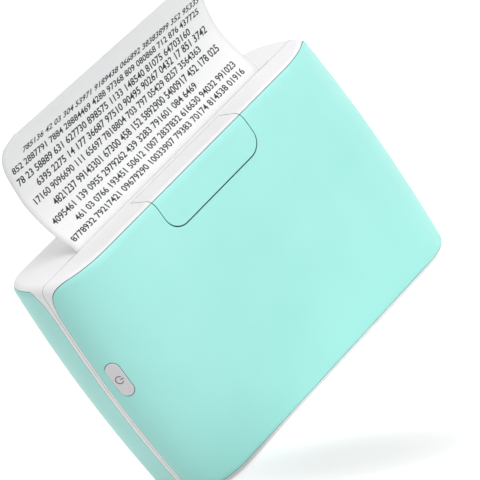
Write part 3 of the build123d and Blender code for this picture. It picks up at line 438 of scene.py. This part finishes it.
class Sheet:
    """The surface of the free end.

    Across runs from 0 at the left edge to 1 at the right, and along from 0 at the slot to 1 at the end.
    """

    def __init__(self):
        low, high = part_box("paper_strip")
        roll_low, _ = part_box("paper_roll")
        self.left_x, self.right_x = low[0], high[0]
        self.foot_z = low[2]
        self.top_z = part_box("front_frame")[1][2]
        self.paper_y = roll_low[1] - STRIP_STANDOFF
        self.width = self.right_x - self.left_x
        self.left = [self.corner(self.left_x, p) for p in STRIP_LEFT]
        self.right = [self.corner(self.right_x, p) for p in STRIP_RIGHT]

    def corner(self, x, offset):
        return Vector((x, self.paper_y + offset[0] * MM, self.top_z + offset[1] * MM))

    def at(self, across, along):
        return smooth_path(self.left, along).lerp(smooth_path(self.right, along), across)

    def frame_at(self, across, along):
        """The point there, the way out of its printed face, and the distance that along covers per unit."""
        ahead = self.at(across, min(along + SHEET_STEP, 1.0))
        behind = self.at(across, max(along - SHEET_STEP, 0.0))
        side = self.at(1.0, along) - self.at(0.0, along)
        normal = side.cross(ahead - behind).normalized()
        return self.at(across, along), normal, (ahead - behind).length / (2 * SHEET_STEP)


def make_sheet(sheet):
    """The strip from the roll to its free end, as one thin sheet."""
    columns = [i / SHEET_COLUMNS for i in range(SHEET_COLUMNS + 1)]
    straight_end = sheet.top_z + STRIP_LEFT[0][1] * MM
    points = []
    for row in range(STRAIGHT_ROWS):
        z = sheet.foot_z + (straight_end - sheet.foot_z) * row / STRAIGHT_ROWS
        points += [(sheet.left_x + sheet.width * c, sheet.paper_y, z) for c in columns]
    for row in range(SHEET_ROWS + 1):
        points += [sheet.at(c, row / SHEET_ROWS) for c in columns]
    across = len(columns)
    rows = len(points) // across
    faces = [(r * across + c, r * across + c + 1, (r + 1) * across + c + 1, (r + 1) * across + c)
             for r in range(rows - 1) for c in range(across - 1)]
    obj = mesh_piece("printed_strip", points, faces, FINISHES["paper"], "lid")
    solid = obj.modifiers.new("thickness", "SOLIDIFY")
    solid.thickness = SHEET_THICKNESS
    solid.offset = 0.0
    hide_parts("paper_strip")


def digit_words(count, rng):
    """A row of plain digits in groups, about count characters long."""
    words = []
    used = 0
    while used < count - 2:
        size = min(rng.choice(WORD_SIZES), count - used)
        words.append("".join(rng.choice("0123456789") for _ in range(size)))
        used += size + 1
    return " ".join(words)


def flat_text(body, slant):
    """A line of text as a flat mesh, one unit to its font size: its points and faces."""
    curve = bpy.data.curves.new("row_text", "FONT")
    curve.body = body
    curve.size = 1.0
    curve.shear = slant
    curve.offset = DIGIT_WEIGHT
    curve.resolution_u = 3
    obj = bpy.data.objects.new("row_text", curve)
    bpy.context.scene.collection.objects.link(obj)
    bpy.context.view_layer.update()
    mesh = bpy.data.meshes.new_from_object(obj)
    bpy.data.objects.remove(obj)
    points = [tuple(v.co) for v in mesh.vertices]
    faces = [tuple(p.vertices) for p in mesh.polygons]
    return points, faces


def make_print(sheet):
    """Rows of plain digits that follow the sheet's curve."""
    rng = random.Random(PRINT_SEED)
    width_mm = sheet.width / MM
    for row, (start, end) in enumerate(ROW_SPANS):
        text = digit_words(round((end - start) / CHARACTER_WIDTH), rng)
        points, faces = flat_text(text, TITLE_SLANT if row == len(ROW_SPANS) - 1 else 0.0)
        high = max(p[1] for p in points)
        long = max(p[0] for p in points)
        placed = []
        for x, y, _ in points:
            across = (start + (end - start) * x / long) / width_mm
            pitch = ROW_PITCH_LEFT + (ROW_PITCH_RIGHT - ROW_PITCH_LEFT) * across
            base = ROW_FIRST + pitch * row
            _, _, length = sheet.frame_at(across, base)
            along = base + y / high * DIGIT_HEIGHT * MM / length
            place, normal, _ = sheet.frame_at(across, max(along, 0.0))
            placed.append(place + normal * INK_LIFT * MM)
        mesh_piece(f"print_row_{row + 1}", placed, faces, FINISHES["ink"], "lid", smooth=False)


def outer_face(node, towards):
    """The centre and normal of a node's outermost flat face that looks a given way."""
    towards = Vector(towards).normalized()
    facing = [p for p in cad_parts[node].data.polygons if p.normal.dot(towards) > 0.999]
    outermost = max(p.center.dot(towards) for p in facing)
    centre = Vector()
    normal = Vector()
    area = 0.0
    for p in facing:
        if p.center.dot(towards) > outermost - 0.05 * MM:
            centre += p.center * p.area
            normal += p.normal * p.area
            area += p.area
    return centre / area, normal.normalized()


def make_power_symbol():
    """A ring with a gap and a bar, upright when the printer lies on its back."""
    centre, normal = outer_face("power_button", BUTTON_OUTWARDS)
    up = Vector((0, 0, 1)).cross(normal)
    right = up.cross(normal)

    def put(x, y):
        return centre + right * x * MM + up * y * MM + normal * SYMBOL_LIFT * MM

    points = []
    faces = []
    for step in range(SYMBOL_STEPS + 1):
        angle = math.pi / 2 + SYMBOL_GAP + (2 * math.pi - 2 * SYMBOL_GAP) * step / SYMBOL_STEPS
        for r in (SYMBOL_RADIUS - SYMBOL_LINE, SYMBOL_RADIUS + SYMBOL_LINE):
            points.append(put(r * math.cos(angle), r * math.sin(angle)))
        if step:
            last = len(points)
            faces.append((last - 4, last - 3, last - 1, last - 2))
    first = len(points)
    foot, top = SYMBOL_BAR
    points += [put(x, y) for x, y in ((-SYMBOL_LINE, foot), (SYMBOL_LINE, foot),
                                      (SYMBOL_LINE, top), (-SYMBOL_LINE, top))]
    faces.append((first, first + 1, first + 2, first + 3))
    mesh_piece("power_symbol", points, faces, FINISHES["symbol"], "power_button", smooth=False)


def coil(name, start, end, radius, wire, turns, body):
    """A wound spring between two points, as a round wire of a given radius."""
    start, end = Vector(start), Vector(end)
    axis = (end - start).normalized()
    side = axis.orthogonal().normalized()
    other = axis.cross(side)
    steps = STEPS_PER_TURN * turns
    curve = bpy.data.curves.new(name, "CURVE")
    curve.dimensions = "3D"
    curve.bevel_depth = wire
    curve.bevel_resolution = 3
    spline = curve.splines.new("POLY")
    spline.points.add(steps)
    for step in range(steps + 1):
        share = step / steps
        angle = 2 * math.pi * turns * share
        place = start.lerp(end, share) + (side * math.cos(angle) + other * math.sin(angle)) * radius
        spline.points[step].co = (*place, 1.0)
    curve.use_fill_caps = True
    obj = bpy.data.objects.new(name, curve)
    bpy.context.scene.collection.objects.link(obj)
    obj.data.materials.append(FINISHES["steel"])
    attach(obj, body)
    return obj


def make_springs():
    """Wound wire in the space of the CAD's spring tubes: three behind the head, one on the tab's axle."""
    low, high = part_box("head_springs")
    mid_z = (low[2] + high[2]) / 2
    outer = (high[2] - low[2]) / 2 - HEAD_WIRE
    front, back = low[1] + HEAD_WIRE, high[1] - HEAD_WIRE
    places = (low[0] + outer + HEAD_WIRE, (low[0] + high[0]) / 2, high[0] - outer - HEAD_WIRE)
    for i, x in enumerate(places):
        spring = coil(f"head_spring_{i + 1}", (x, front, mid_z), (x, back, mid_z), outer, HEAD_WIRE,
                      HEAD_TURNS, "root")
        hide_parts("head_springs")
    low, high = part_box("tab_spring")
    y, z = (low[1] + high[1]) / 2, (low[2] + high[2]) / 2
    outer = (high[2] - low[2]) / 2 - TAB_WIRE
    spring = coil("tab_return_spring", (low[0] + TAB_WIRE, y, z), (high[0] - TAB_WIRE, y, z), outer,
                  TAB_WIRE, TAB_TURNS, "root")
    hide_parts("tab_spring")


def make_camera():
    data = bpy.data.cameras.new("photo_camera")
    data.lens = CAMERA_LENS
    data.sensor_width = SENSOR_WIDTH
    data.clip_start = 0.01
    obj = bpy.data.objects.new("photo_camera", data)
    bpy.context.scene.collection.objects.link(obj)
    turn = Matrix((CAMERA_RIGHT, CAMERA_UP, CAMERA_BACK)).transposed().to_4x4()
    obj.matrix_world = Matrix.Translation(CAMERA_PLACE) @ turn
    bpy.context.scene.camera = obj


def camera_white(tree, shader, amount, tint=None):
    """Adds plain white, or a pale tint, to a shader for camera, glossy and transmission rays alone."""
    path = tree.nodes.new("ShaderNodeLightPath")
    seen = path.outputs["Is Camera Ray"]
    for ray in ("Is Glossy Ray", "Is Transmission Ray"):
        either = tree.nodes.new("ShaderNodeMath")
        either.operation = "MAXIMUM"
        tree.links.new(seen, either.inputs[0])
        tree.links.new(path.outputs[ray], either.inputs[1])
        seen = either.outputs[0]
    strength = tree.nodes.new("ShaderNodeMath")
    strength.operation = "MULTIPLY"
    strength.inputs[1].default_value = amount
    tree.links.new(seen, strength.inputs[0])
    glow = tree.nodes.new("ShaderNodeEmission")
    if tint is not None:
        tree.links.new(tint, glow.inputs["Color"])
    tree.links.new(strength.outputs[0], glow.inputs["Strength"])
    both = tree.nodes.new("ShaderNodeAddShader")
    tree.links.new(shader, both.inputs[0])
    tree.links.new(glow.outputs[0], both.inputs[1])
    return both.outputs[0]


def painted_floor_shadow(n):
    """How deep the painted pool of shade is at each point of the floor."""
    pool = n.add("ShaderNodeMapping", vector_type="TEXTURE")
    pool.inputs["Location"].default_value = SHADE_PLACE
    pool.inputs["Rotation"].default_value = (0.0, 0.0, SHADE_TURN)
    pool.inputs["Scale"].default_value = SHADE_SIZE
    n.link(n.coords.outputs["Object"], pool.inputs["Vector"])
    away = n.add("ShaderNodeVectorMath", operation="LENGTH")
    n.link(pool.outputs["Vector"], away.inputs[0])
    depth = n.add("ShaderNodeMapRange", interpolation_type="SMOOTHERSTEP")
    depth.inputs["To Min"].default_value = SHADE_DEPTH
    depth.inputs["To Max"].default_value = 0.0
    n.link(away.outputs["Value"], depth.inputs["Value"])
    return depth.outputs["Result"]


def make_floor():
    corners = [(-FLOOR_HALF, -FLOOR_HALF, 0), (FLOOR_HALF, -FLOOR_HALF, 0),
               (FLOOR_HALF, FLOOR_HALF, 0), (-FLOOR_HALF, FLOOR_HALF, 0)]
    mesh = bpy.data.meshes.new("studio_floor")
    mesh.from_pydata(corners, [], [(0, 1, 2, 3)])
    floor = bpy.data.objects.new("studio_floor", mesh)
    bpy.context.scene.collection.objects.link(floor)
    n = Nodes("studio_floor")
    n.set(Roughness=0.9, Specular_IOR_Level=0.1)
    pale = n.ramp(n.noise(3.0), *map(linear, FLOOR_TINTS))
    # Painted shadow: the floor's colour, and the plain white that the camera sees, darken towards black in
    # the pool.
    tint = n.mix(painted_floor_shadow(n), pale, (0.0, 0.0, 0.0, 1.0))
    n.feed(Base_Color=tint)
    output = n.tree.nodes["Material Output"]
    n.link(camera_white(n.tree, n.shader.outputs[0], FLOOR_WHITE, tint), output.inputs["Surface"])
    floor.data.materials.append(n.material)


def area_light(name, place, aim, size, power):
    data = bpy.data.lights.new(name, "AREA")
    data.shape = "SQUARE"
    data.size = size
    data.energy = power
    obj = bpy.data.objects.new(name, data)
    bpy.context.scene.collection.objects.link(obj)
    direction = Vector(aim) - Vector(place)
    obj.rotation_euler = direction.to_track_quat("-Z", "Y").to_euler()
    obj.location = place


def make_studio():
    scene = bpy.context.scene
    scene.view_settings.view_transform = "Standard"
    world = bpy.data.worlds.new("studio")
    scene.world = world
    world.use_nodes = True
    tree = world.node_tree
    background = tree.nodes["Background"]
    background.inputs["Color"].default_value = (1.0, 1.0, 1.0, 1.0)
    background.inputs["Strength"].default_value = WORLD_LIGHT
    output = tree.nodes["World Output"]
    tree.links.new(camera_white(tree, background.outputs[0], WORLD_WHITE), output.inputs["Surface"])
    for lamp in LAMPS:
        area_light(*lamp)


dress_nodes()
SHEET = Sheet()
make_sheet(SHEET)
make_print(SHEET)
make_power_symbol()
make_springs()
make_camera()
make_floor()
make_studio()
